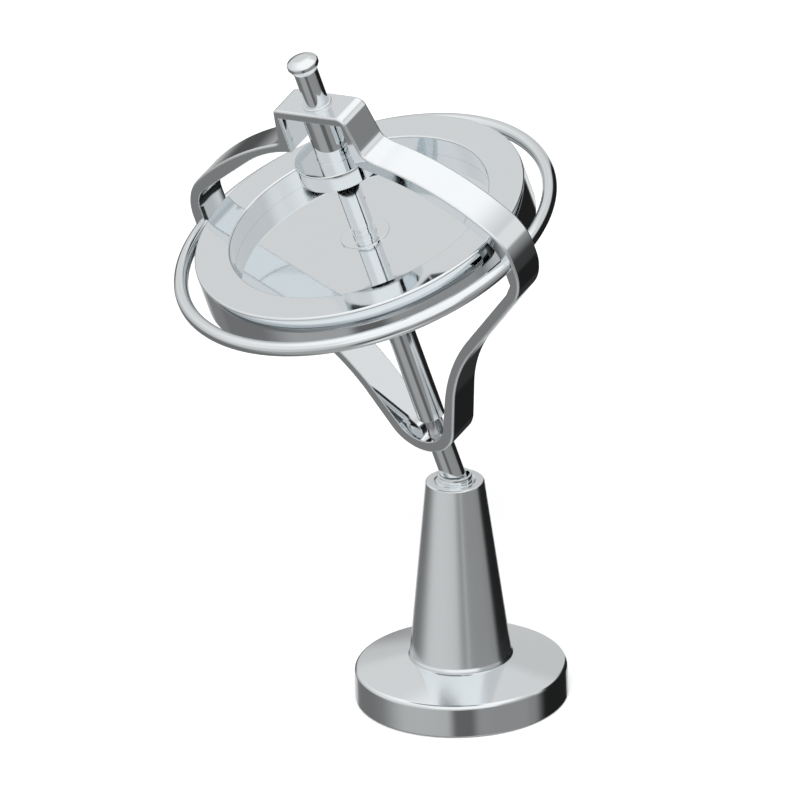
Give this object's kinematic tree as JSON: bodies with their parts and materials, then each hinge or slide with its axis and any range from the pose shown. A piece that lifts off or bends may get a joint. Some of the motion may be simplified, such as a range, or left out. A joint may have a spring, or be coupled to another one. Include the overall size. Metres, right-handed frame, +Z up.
{
  "type": "gyroscope on stand",
  "caption": "Chrome demonstration gyroscope leaning on a ball pivot on top of a tapered column with a round weighted base; the rotor spins in a bowed frame with a wire guard ring.",
  "frame": {"origin": "middle of the base disc's underside, on the column's axis", "axes": "+Z up along the column's axis; the gyro leans towards -X, and +Y completes the right-handed set"},
  "size_m": [0.0637, 0.0658, 0.1208],
  "materials": {
    "chrome": "mirror-polished chrome plating on steel",
    "bright_steel": "ground hardened steel",
    "dark_steel": "zinc-plated steel",
    "bronze": "sintered bronze"
  },
  "bodies": {
    "stand": {"base_disc": "chrome", "column": "chrome", "column_screw": "dark_steel", "screw_washer": "dark_steel", "swivel_bush": "bronze", "thrust_ball": "bright_steel", "retaining_collar": "chrome"},
    "swivel": {"swivel_stud": "bright_steel"},
    "liner": {"ball_liner": "bronze"},
    "gyro_frame": {"pivot_pin": "chrome", "liner_ring": "bright_steel", "frame_band": "chrome", "guard_ring_front": "chrome", "guard_ring_back": "chrome", "lower_pivot": "bright_steel", "bearing_housing": "chrome", "bearing_bush": "bronze", "thrust_button": "bright_steel", "pin_collar": "chrome", "top_pin": "chrome", "top_knob": "chrome"},
    "rotor": {"rotor_rim": "chrome", "rotor_web": "chrome", "rotor_hub": "chrome", "hub_nut": "dark_steel", "axle": "chrome", "axle_sleeve": "chrome", "axle_seat": "dark_steel"}
  },
  "joints": [
    {"name": "precession", "type": "hinge", "parent": "stand", "child": "swivel", "pos_m": [0, 0, 0.0386], "axis": [0, 0, 1], "continuous": true},
    {"name": "lean", "type": "hinge", "parent": "swivel", "child": "liner", "pos_m": [0, 0, 0.0386], "axis": [0, 1, 0], "range_deg": [0, 34.74]},
    {"name": "frame_roll", "type": "hinge", "parent": "liner", "child": "gyro_frame", "pos_m": [0, 0, 0.0386], "axis": [-0.2985, 0, 0.9544], "continuous": true},
    {"name": "rotor_spin", "type": "hinge", "parent": "gyro_frame", "child": "rotor", "pos_m": [-0.01487, 0, 0.08613], "axis": [-0.2985, 0, 0.9544], "continuous": true}
  ]
}
